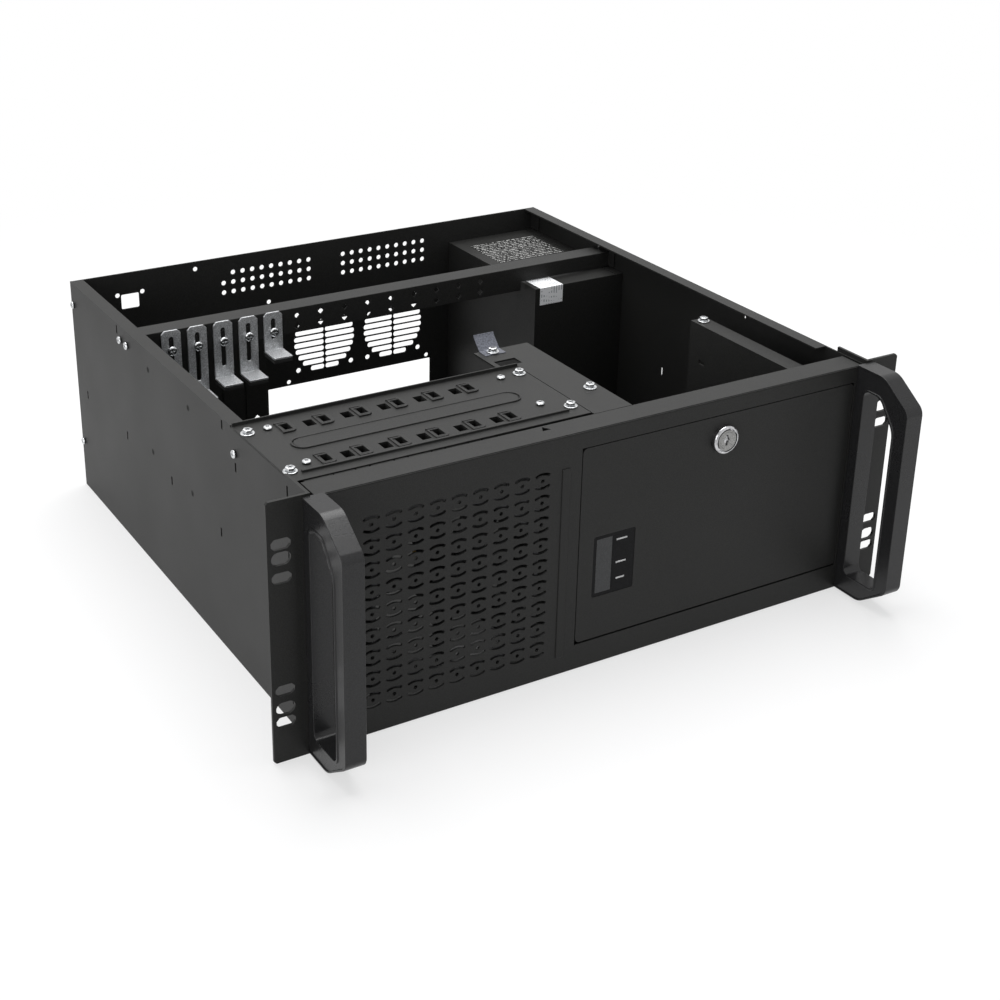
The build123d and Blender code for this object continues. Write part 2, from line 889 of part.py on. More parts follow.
# Front fan behind the grille
fan_y = front + panel_sheet
fan_arm = 7.0
with BuildPart() as front_fan_frame:
    with BuildSketch(facing(fan_y)):
        with Locations((grille_x, grille_z)):
            Rectangle(fan_size, fan_size)
            RegularPolygon(fan_bore, 24, mode=Mode.SUBTRACT)
    extrude(amount=-fan_depth)
    with BuildSketch(facing(fan_y + fan_depth - 3)):
        with Locations((grille_x, grille_z)):
            Rectangle(2 * fan_bore, fan_arm)
            Rectangle(fan_arm, 2 * fan_bore)
            RegularPolygon(fan_hub, 12)
    extrude(amount=-3)
save(front_fan_frame, "front_fan_frame")


def blade_plane(x, y, z, radius, angle):
    """A plane across a fan blade, at a radius and an angle about an axis along Y."""
    out = (cos(radians(angle)), 0, sin(radians(angle)))
    return Plane((x + radius * out[0], y, z + radius * out[2]), x_dir=(0, 1, 0), z_dir=out)


blade_count = 7
with BuildPart() as front_fan_rotor:
    with BuildSketch(facing(fan_y + 1)):
        with Locations((grille_x, grille_z)):
            RegularPolygon(fan_hub, 16)
    extrude(amount=-(fan_depth - 5))
    middle = fan_y + 1 + (fan_depth - 5) / 2
    for i in range(blade_count):
        angle = 10 + i * 360 / blade_count
        with BuildSketch(blade_plane(grille_x, middle, grille_z, fan_hub - 3, angle)):
            Rectangle(22, 1.3, rotation=50)
        extrude(amount=fan_bore - fan_play - fan_hub + 3)
save(front_fan_rotor, "front_fan_rotor")

# Crossbar over the cards, an angle with end tabs and two rows of holes
bar_half = inner_half - fit
bar_holes = [hold_down_x + card_pitch * i for i in range(14)]
with BuildPart() as crossbar:
    with BuildSketch(beside(-bar_half)):
        with BuildLine():
            Polyline(
                (bar_y + crossbar_flange, crossbar_top),
                (bar_y, crossbar_top),
                (bar_y, crossbar_top - crossbar_web),
            )
            offset(amount=sheet, side=Side.LEFT, kind=Kind.INTERSECTION)
        make_face()
    extrude(amount=2 * bar_half)
    for side in (-1, 1):
        edge = sorted((side * bar_half, side * (bar_half - sheet)))
        slab(edge, (bar_y - 7, bar_y + crossbar_flange), (crossbar_top - crossbar_web, crossbar_top))
    slab(
        (supply_left - 2, inner_half),
        (bar_y - 8, bar_y + crossbar_flange + 1),
        (crossbar_top - crossbar_web - 1, supply_high + 1),
        Mode.SUBTRACT,
    )
    with BuildSketch(facing(bar_y - 1)):
        for z in (clamp_screw_z, clamp_screw_z + 9):
            with Locations(*[(x, z) for x in bar_holes]):
                RegularPolygon(2.4, 4)
    extrude(amount=-sheet - 2, mode=Mode.SUBTRACT)
save(crossbar, "crossbar")

# Card hold-downs, slotted angles of five lengths, each with a rubber pad under its foot
pad_thickness = 3.0
for i, drop in enumerate(hold_down_drops):
    foot = crossbar_top - drop
    x = hold_down_x + card_pitch * i
    top = crossbar_top + 0.4
    with BuildPart() as hold_down:
        with BuildSketch(beside(x - hold_down_width / 2)):
            with BuildLine():
                Polyline(
                    (hold_down_back, top),
                    (hold_down_back, foot - hold_down_sheet),
                    (hold_down_front - hold_down_foot, foot - hold_down_sheet),
                )
                offset(amount=hold_down_sheet, side=Side.RIGHT, kind=Kind.INTERSECTION)
            make_face()
        extrude(amount=hold_down_width)
        chamfer(hold_down.edges().filter_by(Axis.Y).group_by(Axis.Z)[-1], 2.5)
        slot_low = foot + 8.5
        slot_high = top - 5
        with BuildSketch(facing(hold_down_front - 1)):
            with Locations((x, (slot_low + slot_high) / 2)):
                Polygon(
                    (-1.0, (slot_low - slot_high) / 2),
                    (1.0, (slot_low - slot_high) / 2),
                    (1.9, (slot_low - slot_high) / 2 + 1.4),
                    (1.9, (slot_high - slot_low) / 2 - 1.4),
                    (1.0, (slot_high - slot_low) / 2),
                    (-1.0, (slot_high - slot_low) / 2),
                    (-1.9, (slot_high - slot_low) / 2 - 1.4),
                    (-1.9, (slot_low - slot_high) / 2 + 1.4),
                    align=None,
                )
        extrude(amount=-hold_down_sheet - 1.2, mode=Mode.SUBTRACT)
    save(hold_down, f"card_hold_down_{i + 1}")
    with BuildPart() as pad:
        under = foot - hold_down_sheet
        slab(
            (x - hold_down_width / 2, x + hold_down_width / 2),
            (hold_down_front - hold_down_foot, hold_down_back),
            (under - pad_thickness, under),
        )
    save(pad, f"hold_down_pad_{i + 1}")

with BuildPart() as clamp_screws:
    places = [(hold_down_x + card_pitch * i, clamp_screw_z) for i in range(len(hold_down_drops))]
    with BuildSketch(facing(hold_down_front - clearance)):
        with Locations(*places):
            RegularPolygon(3.7, 8)
    extrude(amount=2.2)
    with BuildSketch(facing(hold_down_front - clearance)):
        with Locations(*places):
            RegularPolygon(1.45, 4)
    extrude(amount=hold_down_front - clearance - bar_y - 3)
save(clamp_screws, "clamp_screws")

# Screws through the side walls, and those that hold the power supply to the rear panel
wall_screws = [(423.5, 18), (423.5, 133.8), (317.4, 11), (303.6, 10.8), (110.3, 17.5)]
with BuildPart() as case_screws:
    for side in (-1, 1):
        with BuildSketch(beside(side * half_width)):
            with Locations(*[(front + y, case_height - drop) for y, drop in wall_screws]):
                RegularPolygon(2.8, 6)
        extrude(amount=side * 1.6)
    with BuildSketch(facing(rear)):
        for x in (supply_left + 3.2, supply_right - 3.2):
            with Locations((x, supply_low + 6), (x, supply_high - 6)):
                RegularPolygon(2.8, 6)
    extrude(amount=-1.6)
save(case_screws, "case_screws")

# Power supply case with its fan recess, inlet recess and switch recess in the rear face
supply_rear = rear_inner - fit
supply_fan_bore = 35.5
supply_fan_depth = 25.0
inlet_z = 120.0
inlet_size = (27.0, 20.0)
switch_z = 98.0
switch_size = (12.0, 19.0)
inlet_x = supply_x + 14
switch_x = supply_x - 22
with BuildPart() as supply_case:
    slab((supply_left, supply_right), (supply_front, supply_rear), (supply_low, supply_high))
    with BuildSketch(facing(supply_rear + 1)):
        with Locations((supply_x, supply_fan_z)):
            RegularPolygon(supply_fan_bore, 20)
    extrude(amount=supply_fan_depth + 1, mode=Mode.SUBTRACT)
    with BuildSketch(facing(supply_rear + 1)):
        with Locations((inlet_x, inlet_z)):
            Rectangle(inlet_size[0] + 2 * fit, inlet_size[1] + 2 * fit)
        with Locations((switch_x, inlet_z)):
            Rectangle(switch_size[0] + 4 * clearance, switch_size[1] + 6 * clearance)
    extrude(amount=13, mode=Mode.SUBTRACT)
    seam_x = supply_right - 7
    slab(
        (seam_x, seam_x + 0.8),
        (supply_front - 1, supply_rear + 1),
        (supply_high - 0.6, supply_high + 1),
        Mode.SUBTRACT,
    )
save(supply_case, "supply_case")

supply_hub = 15.0
rotor_rear = supply_rear - 2
rotor_depth = supply_fan_depth - 4
with BuildPart() as supply_fan_rotor:
    with BuildSketch(facing(rotor_rear)):
        with Locations((supply_x, supply_fan_z)):
            RegularPolygon(supply_hub, 12)
    extrude(amount=rotor_depth)
    for i in range(blade_count):
        angle = 10 + i * 360 / blade_count
        middle = rotor_rear - rotor_depth / 2
        with BuildSketch(blade_plane(supply_x, middle, supply_fan_z, supply_hub - 3, angle)):
            Rectangle(16, 1.3, rotation=50)
        extrude(amount=supply_fan_bore - fan_play - supply_hub + 2.5)
save(supply_fan_rotor, "supply_fan_rotor")

with BuildPart() as supply_fan_guard:
    with BuildSketch(facing(supply_rear)):
        with Locations((supply_x, supply_fan_z)):
            RegularPolygon(34.0, 10)
            RegularPolygon(32.0, 10, mode=Mode.SUBTRACT)
            RegularPolygon(20.0, 8)
            RegularPolygon(18.0, 8, mode=Mode.SUBTRACT)
            Rectangle(73, 2)
            Rectangle(2, 73)
    extrude(amount=-1.8)
save(supply_fan_guard, "supply_fan_guard")

with BuildPart() as supply_inlet:
    with BuildSketch(facing(rear + 1.5)):
        with Locations((inlet_x, inlet_z)):
            Rectangle(*inlet_size)
    extrude(amount=13)
    with BuildSketch(facing(rear + 1.6)):
        with Locations((inlet_x, inlet_z)):
            Polygon((-10, -7), (10, -7), (10, 3), (6, 7), (-6, 7), (-10, 3), align=None)
    extrude(amount=11, mode=Mode.SUBTRACT)
    with BuildSketch(facing(rear - 0.6)):
        with Locations((inlet_x - 5, inlet_z - 2), (inlet_x + 5, inlet_z - 2), (inlet_x, inlet_z + 2)):
            Rectangle(1.2, 3.2)
    extrude(amount=9.5)
save(supply_inlet, "supply_inlet")

with BuildPart() as supply_switch:
    half_high = switch_size[1] / 2
    with BuildSketch(beside(switch_x - switch_size[0] / 2)):
        with Locations((rear, inlet_z)):
            Polygon(
                (0.2, -half_high),
                (0.9, 0),
                (rear_proud, half_high),
                (-7, half_high - 2),
                (-7, 2 - half_high),
                align=None,
            )
    extrude(amount=switch_size[0])
save(supply_switch, "supply_switch")
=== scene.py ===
import json
from math import cos, pi, radians, sin

import bpy
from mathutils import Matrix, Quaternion, Vector

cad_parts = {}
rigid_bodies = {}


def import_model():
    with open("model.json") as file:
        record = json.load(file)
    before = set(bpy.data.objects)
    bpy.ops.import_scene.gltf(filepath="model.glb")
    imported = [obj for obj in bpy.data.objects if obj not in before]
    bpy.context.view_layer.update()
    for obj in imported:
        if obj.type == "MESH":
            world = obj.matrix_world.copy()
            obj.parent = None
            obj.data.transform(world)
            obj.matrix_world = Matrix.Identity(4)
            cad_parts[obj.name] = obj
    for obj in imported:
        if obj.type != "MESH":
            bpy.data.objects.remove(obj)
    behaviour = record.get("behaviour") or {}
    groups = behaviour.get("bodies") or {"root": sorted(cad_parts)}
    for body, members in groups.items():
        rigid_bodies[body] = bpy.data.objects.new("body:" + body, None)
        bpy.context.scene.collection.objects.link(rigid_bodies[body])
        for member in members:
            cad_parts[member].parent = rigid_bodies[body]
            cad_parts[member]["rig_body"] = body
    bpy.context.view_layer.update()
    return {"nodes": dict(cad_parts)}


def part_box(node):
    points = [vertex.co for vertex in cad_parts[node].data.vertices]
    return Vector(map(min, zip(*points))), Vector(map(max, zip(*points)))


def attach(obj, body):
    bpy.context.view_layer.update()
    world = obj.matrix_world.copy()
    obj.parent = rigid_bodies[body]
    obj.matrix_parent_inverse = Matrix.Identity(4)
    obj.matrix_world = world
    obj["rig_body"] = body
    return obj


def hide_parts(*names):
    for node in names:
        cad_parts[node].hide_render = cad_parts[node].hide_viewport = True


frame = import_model()

# The studio is a pale floor that fades into a white backdrop, with large soft lamps
# overhead, at the left front and at the right. The camera looks at the left front
# corner of the case from above.
scene = bpy.context.scene
scene.view_settings.view_transform = "Standard"
bpy.ops.object.select_all(action="DESELECT")
bpy.ops.mesh.primitive_plane_add(size=8, location=(0, 0, -0.0002))
floor = bpy.context.object
floor.name = "floor"
bpy.ops.object.transform_apply(location=True, rotation=True, scale=True)
floor_paint = bpy.data.materials.new("pale_floor")
floor_paint.use_nodes = True
nodes, links = floor_paint.node_tree.nodes, floor_paint.node_tree.links
nodes.clear()
place = nodes.new("ShaderNodeTexCoord")
reach = nodes.new("ShaderNodeVectorMath")
reach.operation = "LENGTH"
fade = nodes.new("ShaderNodeMapRange")
fade.interpolation_type = "SMOOTHSTEP"
fade.inputs["From Min"].default_value = 0.4
fade.inputs["From Max"].default_value = 1.0
fade.inputs["To Min"].default_value = 0.62
path = nodes.new("ShaderNodeLightPath")
looked = nodes.new("ShaderNodeMath")
looked.operation = "MAXIMUM"
seen = nodes.new("ShaderNodeMath")
seen.operation = "MULTIPLY"
matte = nodes.new("ShaderNodeBsdfDiffuse")
matte.inputs["Color"].default_value = (0.86, 0.86, 0.86, 1)
glow = nodes.new("ShaderNodeEmission")
blend = nodes.new("ShaderNodeMixShader")
out = nodes.new("ShaderNodeOutputMaterial")
links.new(place.outputs["Object"], reach.inputs[0])
links.new(reach.outputs["Value"], fade.inputs["Value"])
links.new(path.outputs["Is Camera Ray"], looked.inputs[0])
links.new(path.outputs["Is Glossy Ray"], looked.inputs[1])
links.new(fade.outputs["Result"], seen.inputs[0])
links.new(looked.outputs["Value"], seen.inputs[1])
links.new(seen.outputs["Value"], blend.inputs[0])
links.new(matte.outputs["BSDF"], blend.inputs[1])
links.new(glow.outputs["Emission"], blend.inputs[2])
links.new(blend.outputs["Shader"], out.inputs["Surface"])
floor.data.materials.append(floor_paint)

room = bpy.data.worlds.new("studio_room")
scene.world = room
room.use_nodes = True
nodes, links = room.node_tree.nodes, room.node_tree.links
nodes.clear()
path = nodes.new("ShaderNodeLightPath")
shown = nodes.new("ShaderNodeMath")
shown.operation = "MAXIMUM"
mirrored = nodes.new("ShaderNodeMath")
mirrored.operation = "MAXIMUM"
fill = nodes.new("ShaderNodeBackground")
fill.inputs["Color"].default_value = (0.82, 0.83, 0.85, 1)
fill.inputs["Strength"].default_value = 0.46
white = nodes.new("ShaderNodeBackground")
white.inputs["Color"].default_value = (1, 1, 1, 1)
blend = nodes.new("ShaderNodeMixShader")
out = nodes.new("ShaderNodeOutputWorld")
links.new(path.outputs["Is Camera Ray"], shown.inputs[0])
links.new(path.outputs["Is Transmission Ray"], shown.inputs[1])
links.new(shown.outputs["Value"], mirrored.inputs[0])
links.new(path.outputs["Is Glossy Ray"], mirrored.inputs[1])
links.new(mirrored.outputs["Value"], blend.inputs[0])
links.new(fill.outputs["Background"], blend.inputs[1])
links.new(white.outputs["Background"], blend.inputs[2])
links.new(blend.outputs["Shader"], out.inputs["Surface"])

lamp_aim = Vector((0, 0, 0.08))
for name, spot, size, watts in (
    ("top_lamp", (0.1, 0.35, 1.7), 1.6, 42),
    ("left_lamp", (-1.7, -1.1, 0.55), 1.2, 14),
    ("right_lamp", (1.1, -1.6, 0.9), 1.4, 1.0),
):
    bpy.ops.object.light_add(type="AREA", location=spot)
    lamp = bpy.context.object
    lamp.name = name
    lamp.data.size = size
    lamp.data.energy = watts
    lamp.rotation_euler = (lamp_aim - Vector(spot)).to_track_quat("-Z", "Y").to_euler()

azimuth, elevation, roll = radians(-30.673), radians(23.177), radians(0.8)
camera_aim, camera_distance = Vector((-0.0185, -0.0288, 0.1344)), 1.2034
back = Vector((sin(azimuth) * cos(elevation), -cos(azimuth) * cos(elevation), sin(elevation)))
bpy.ops.object.camera_add()
camera = bpy.context.object
camera.data.lens = 60.77
camera.data.sensor_width = 36
camera.data.shift_x = 0.04
camera.data.shift_y = -0.1
camera.location = camera_aim + back * camera_distance
turned = (-back).to_track_quat("-Z", "Y") @ Quaternion((0, 0, 1), roll)
camera.rotation_euler = turned.to_euler()
scene.camera = camera

# Chassis tray: the floor and both side walls are one folded steel sheet, under a black
# powder coat with a fine even grain. Round dimples are pressed into the walls where the
# inner brackets rest against them.
coat_grain = bpy.data.node_groups.new("coat_grain", "ShaderNodeTree")
for name, way, kind in (
    ("Tone", "INPUT", "NodeSocketColor"),
    ("Grain size", "INPUT", "NodeSocketFloat"),
    ("Grain height", "INPUT", "NodeSocketFloat"),
    ("Dullness", "INPUT", "NodeSocketFloat"),
    ("Colour", "OUTPUT", "NodeSocketColor"),
    ("Roughness", "OUTPUT", "NodeSocketFloat"),
    ("Normal", "OUTPUT", "NodeSocketVector"),
):
    coat_grain.interface.new_socket(name, in_out=way, socket_type=kind)
nodes, links = coat_grain.nodes, coat_grain.links
given = nodes.new("NodeGroupInput")
place = nodes.new("ShaderNodeTexCoord")
fine = nodes.new("ShaderNodeTexNoise")
fine.inputs["Detail"].default_value = 2
fine.inputs["Roughness"].default_value = 0.6
speck = nodes.new("ShaderNodeMapRange")
speck.inputs["From Min"].default_value = 0.35
speck.inputs["From Max"].default_value = 0.75
speck.inputs["To Min"].default_value = 0.7
speck.inputs["To Max"].default_value = 1.6
tint = nodes.new("ShaderNodeVectorMath")
tint.operation = "SCALE"
cloud = nodes.new("ShaderNodeTexNoise")
cloud.inputs["Scale"].default_value = 14
cloud.inputs["Detail"].default_value = 3
haze = nodes.new("ShaderNodeMapRange")
haze.inputs["To Min"].default_value = -0.06
haze.inputs["To Max"].default_value = 0.06
sheen = nodes.new("ShaderNodeMath")
sheen.operation = "ADD"
raised = nodes.new("ShaderNodeBump")
raised.inputs["Distance"].default_value = 0.0002
given_out = nodes.new("NodeGroupOutput")
links.new(place.outputs["Object"], fine.inputs["Vector"])
links.new(place.outputs["Object"], cloud.inputs["Vector"])
links.new(given.outputs["Grain size"], fine.inputs["Scale"])
links.new(fine.outputs["Fac"], speck.inputs["Value"])
links.new(given.outputs["Tone"], tint.inputs[0])
links.new(speck.outputs["Result"], tint.inputs["Scale"])
links.new(cloud.outputs["Fac"], haze.inputs["Value"])
links.new(haze.outputs["Result"], sheen.inputs[0])
links.new(given.outputs["Dullness"], sheen.inputs[1])
links.new(given.outputs["Grain height"], raised.inputs["Strength"])
links.new(fine.outputs["Fac"], raised.inputs["Height"])
links.new(tint.outputs["Vector"], given_out.inputs["Colour"])
links.new(sheen.outputs["Value"], given_out.inputs["Roughness"])
links.new(raised.outputs["Normal"], given_out.inputs["Normal"])


def coated(name, tone, grain_size, grain_height, dullness, metallic=0.0, gloss=0.5):
    """A grained coat with its own tone, grain, dullness and gloss."""
    paint = bpy.data.materials.new(name)
    paint.use_nodes = True
    nodes, links = paint.node_tree.nodes, paint.node_tree.links
    surface = nodes["Principled BSDF"]
    grain = nodes.new("ShaderNodeGroup")
    grain.node_tree = coat_grain
    grain.inputs["Tone"].default_value = (*tone, 1)
    grain.inputs["Grain size"].default_value = grain_size
    grain.inputs["Grain height"].default_value = grain_height
    grain.inputs["Dullness"].default_value = dullness
    surface.inputs["Metallic"].default_value = metallic
    surface.inputs["Specular IOR Level"].default_value = gloss
    links.new(grain.outputs["Colour"], surface.inputs["Base Color"])
    links.new(grain.outputs["Roughness"], surface.inputs["Roughness"])
    links.new(grain.outputs["Normal"], surface.inputs["Normal"])
    return paint


def only(piece):
    """Selects one piece and makes it the active one."""
    bpy.ops.object.select_all(action="DESELECT")
    piece.select_set(True)
    bpy.context.view_layer.objects.active = piece


def painted(piece, paint):
    """Gives a piece one paint."""
    piece.data.materials.clear()
    piece.data.materials.append(paint)
    return piece


def fitted(piece, node):
    """Gives a finished piece its node's body, and hides the node."""
    piece.name = node + "_finished"
    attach(piece, frame["nodes"][node]["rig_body"])
    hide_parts(node)
    return piece


def rounded(piece, width, segments=2):
    """Rounds a piece's sharp edges, and shades its broad faces flat."""
    only(piece)
    rounding = piece.modifiers.new("rounding", "BEVEL")
    rounding.width = width
    rounding.segments = segments
    rounding.limit_method = "ANGLE"
    rounding.angle_limit = radians(35)
    bpy.ops.object.modifier_apply(modifier="rounding")
    bpy.ops.object.shade_smooth_by_angle(angle=radians(40))
    broad = piece.modifiers.new("broad_faces", "WEIGHTED_NORMAL")
    broad.keep_sharp = True
    broad.weight = 80
    bpy.ops.object.modifier_apply(modifier="broad_faces")
    return piece


def merged(node):
    """A copy of a node, with its triangles merged into whole faces."""
    piece = frame["nodes"][node].copy()
    piece.data = piece.data.copy()
    piece.parent = None
    bpy.context.collection.objects.link(piece)
    only(piece)
    bpy.ops.object.mode_set(mode="EDIT")
    bpy.ops.mesh.select_all(action="SELECT")
    bpy.ops.mesh.remove_doubles(threshold=0.00001)
    bpy.ops.mesh.dissolve_limited(angle_limit=radians(2))
    bpy.ops.object.mode_set(mode="OBJECT")
    return piece


def softened(node, paint, width=0.0004, segments=2):
    """Puts a copy of a node with rounded edges in its place."""
    return fitted(painted(rounded(merged(node), width, segments), paint), node)


def box_at(low, high):
    """A closed box between two corners."""
    bpy.ops.object.select_all(action="DESELECT")
    centre = [(a + b) / 2 for a, b in zip(low, high)]
    bpy.ops.mesh.primitive_cube_add(size=1, location=centre)
    piece = bpy.context.object
    piece.scale = [b - a for a, b in zip(low, high)]
    bpy.ops.object.transform_apply(location=True, rotation=True, scale=True)
    return piece


def disc_at(centre, axis, radius, depth, sides=24):
    """A closed round piece about its centre, along X, Y or Z."""
    bpy.ops.object.select_all(action="DESELECT")
    turn = {"X": (0, pi / 2, 0), "Y": (pi / 2, 0, 0), "Z": (0, 0, 0)}[axis]
    bpy.ops.mesh.primitive_cylinder_add(
        vertices=sides, radius=radius, depth=depth, location=centre, rotation=turn
    )
    bpy.ops.object.transform_apply(location=True, rotation=True, scale=True)
    return bpy.context.object


def copied(piece, place, turn=(0, 0, 0)):
    """A copy of a piece with its own mesh, turned and moved."""
    twin = piece.copy()
    twin.data = piece.data.copy()
    twin.location = place
    twin.rotation_euler = turn
    bpy.context.collection.objects.link(twin)
    return twin


def joined(pieces):
    """Joins pieces into one mesh at the origin."""
    bpy.ops.object.select_all(action="DESELECT")
    for piece in pieces:
        piece.select_set(True)
    bpy.context.view_layer.objects.active = pieces[0]
    bpy.ops.object.join()
    bpy.ops.object.transform_apply(location=True, rotation=True, scale=True)
    return pieces[0]


def cut(piece, cutter):
    """Takes a cutter out of a piece, and removes the cutter."""
    only(piece)
    knife = piece.modifiers.new("cut", "BOOLEAN")
    knife.operation = "DIFFERENCE"
    knife.solver = "EXACT"
    knife.object = cutter
    bpy.ops.object.modifier_apply(modifier="cut")
    bpy.ops.object.mode_set(mode="EDIT")
    bpy.ops.mesh.select_all(action="SELECT")
    bpy.ops.mesh.remove_doubles(threshold=0.000005)
    bpy.ops.mesh.dissolve_limited(angle_limit=radians(1))
    bpy.ops.object.mode_set(mode="OBJECT")
    bpy.data.objects.remove(cutter)
    return piece


def picked(piece, kind, test):
    """Opens a piece for editing with the edges or faces that pass a test selected."""
    only(piece)
    bpy.ops.object.mode_set(mode="EDIT")
    bpy.ops.mesh.select_mode(type=kind)
    bpy.ops.mesh.select_all(action="DESELECT")
    bpy.ops.object.mode_set(mode="OBJECT")
    points = piece.data.vertices
    if kind == "FACE":
        for face in piece.data.polygons:
            face.select = test(face.center, face.normal)
    else:
        for edge in piece.data.edges:
            start, end = (points[i].co for i in edge.vertices)
            edge.select = test((start + end) / 2, (end - start).normalized())
    bpy.ops.object.mode_set(mode="EDIT")


def bevelled(piece, test, width, segments):
    """Rounds those edges of a piece that pass a test."""
    picked(piece, "EDGE", test)
    bpy.ops.mesh.bevel(offset=width, segments=segments)
    bpy.ops.object.mode_set(mode="OBJECT")
    return piece


powder_coat = coated("black_powder_coat", (0.0142, 0.0142, 0.0136), 1700, 0.3, 0.47, 0.0, 0.18)
panel_front = -0.1899
dimple_x, dimple_radius = 0.2161, 0.004
tray = merged("chassis_tray")
dimples = []
for side in (-1, 1):
    for y, z in ((0.262, 0.1595), (0.188, 0.1585), (0.262, 0.096), (0.188, 0.095)):
        bpy.ops.object.select_all(action="DESELECT")
        bpy.ops.mesh.primitive_uv_sphere_add(
            segments=20,
            ring_count=14,
            radius=dimple_radius,
            location=(side * dimple_x, panel_front + y, z),
        )
        dimples.append(bpy.context.object)
cut(tray, joined(dimples))
fitted(painted(rounded(tray, 0.0004), powder_coat), "chassis_tray")

# Board standoffs: turned brass posts, riveted into the tray, with a tapped hole in the
# end that takes the screws of a main board.
turned_brass = coated("turned_brass", (0.5, 0.36, 0.14), 900, 0.03, 0.32, 1.0)
standoffs = merged("board_standoffs")
holes = [
    disc_at((x, panel_front + y, 0.0072), "Z", 0.0015, 0.006, 12)
    for x in (-0.038, 0.042, 0.119)
    for y in (0.19, 0.268, 0.395)
]
cut(standoffs, joined(holes))
fitted(painted(rounded(standoffs, 0.0003), turned_brass), "board_standoffs")

# Rear panel: a pressed steel sheet, pierced with round holes and with two round groups
# of slots for air, and with openings for the port plate and the power supply. A box
# stepped forward at its left carries the slot covers.
rear, case_top = 0.2381, 0.174


def through(sheet_y, low, high):
    """A box right through an upright sheet, between two corners in X and Z."""
    return box_at((low[0], sheet_y - 0.01, low[1]), (high[0], sheet_y + 0.01, high[1]))


panel = box_at((-0.2117, rear - 0.0012, 0.0013), (0.2117, rear, case_top))
pierced = [
    through(rear, (-0.19858, 0.0062), (-0.05634, 0.1188)),
    rounded(through(rear, (-0.0515, 0.0056), (0.10725, 0.05005)), 0.001),
    rounded(through(rear, (0.1316, 0.0106), (0.2056, 0.1486)), 0.002),
    rounded(through(rear, (-0.17315, 0.1442), (-0.15845, 0.1562)), 0.001),
]
left_field, right_field = -0.086, 0.0225
hole = disc_at((0, 0, 0), "Y", 0.002, 0.02, 16)
for first_x in (left_field, right_field):
    for column in range(10):
        for row in range(3):
            if (first_x, column, row) != (left_field, 0, 2):
                spot = (first_x + column * 0.0085, rear, 0.1436 + row * 0.0082)
                pierced.append(copied(hole, spot))
bpy.data.objects.remove(hole)
for x, z in (
    (-0.11, 0.1677),
    (-0.176, 0.1561),
    (-0.1554, 0.1565),
    (-0.0305, 0.0534),
    (0.1036, 0.0534),
    (-0.0466, 0.1289),
):
    pierced.append(disc_at((x, rear, z), "Y", 0.0019, 0.02, 16))
vent_z, vent_radius, half_bar, half_slot = 0.0873, 0.0285, 0.00065, 0.00215
for vent_x in (0.00375, 0.0699):
    for row in range(10):
        rise = (row - 4.5) * 0.0056
        half_row = (vent_radius**2 - rise**2) ** 0.5
        for near, far in ((-half_row, -half_bar), (half_bar, half_row)):
            slot = through(
                rear,
                (vent_x + near, vent_z + rise - half_slot),
                (vent_x + far, vent_z + rise + half_slot),
            )
            pierced.append(rounded(slot, 0.0018, 3))
    for x in (-0.025, 0.025):
        for z in (-0.025, 0.025):
            pierced.append(disc_at((vent_x + x, rear, vent_z + z), "Y", 0.0022, 0.02, 16))
cut(panel, joined(pierced))
recess = box_at((-0.19978, rear - 0.0132, 0.005), (-0.05514, rear - 0.0011, 0.12))
cut(recess, box_at((-0.19858, rear - 0.012, 0.0062), (-0.05634, rear + 0.01, 0.1188)))
card_pitch, half_opening = 0.02032, 0.0067
slots = []
for i in range(7):
    x = -0.0665 - i * card_pitch
    slots.append(box_at((x - half_opening, 0.2, 0.0115), (x + half_opening, 0.24, 0.1095)))
cut(recess, joined(slots))
left_return = box_at((-0.2117, rear - 0.0132, 0.0013), (-0.2105, rear - 0.001, 0.1727))
right_return = box_at((0.2105, rear - 0.0132, 0.1556), (0.2117, rear - 0.001, 0.1727))
sheets = [rounded(piece, 0.0003) for piece in (panel, recess, left_return, right_return)]
fitted(painted(joined(sheets), powder_coat), "rear_panel")

# Slot covers: pressed steel plates, each with a bent tab at its top and a narrow tongue
# at its foot, held by one pan-head screw with a cross recess in its zinc-plated head.
for i in range(7):
    softened(f"slot_cover_{i + 1}", powder_coat, 0.00025)
zinc = coated("zinc_plate", (0.55, 0.56, 0.57), 700, 0.05, 0.26, 1.0)


def crossed(head, reach, half_width, low_z, high_z):
    """Cuts a cross recess into a screw head."""
    for x, y in ((reach, half_width), (half_width, reach)):
        cut(head, box_at((-x, -y, low_z), (x, y, high_z)))


def screwed(head, node, places, turn, size=1.0):
    """Puts a copy of a screw head at each place of a node of screws."""
    heads = []
    for spot in places:
        twin = copied(head, spot, turn)
        twin.scale = (size, size, size)
        heads.append(twin)
    return fitted(painted(joined(heads), zinc), node)


pan_head = rounded(disc_at((0, 0, 0.001), "Z", 0.0029, 0.002, 24), 0.0012, 4)
crossed(pan_head, 0.0016, 0.0003, 0.0013, 0.003)
cover_screws = [(-0.0615 - i * card_pitch, 0.2309, 0.1209) for i in range(7)]
screwed(pan_head, "slot_cover_screws", cover_screws, (0, 0, 0.4))

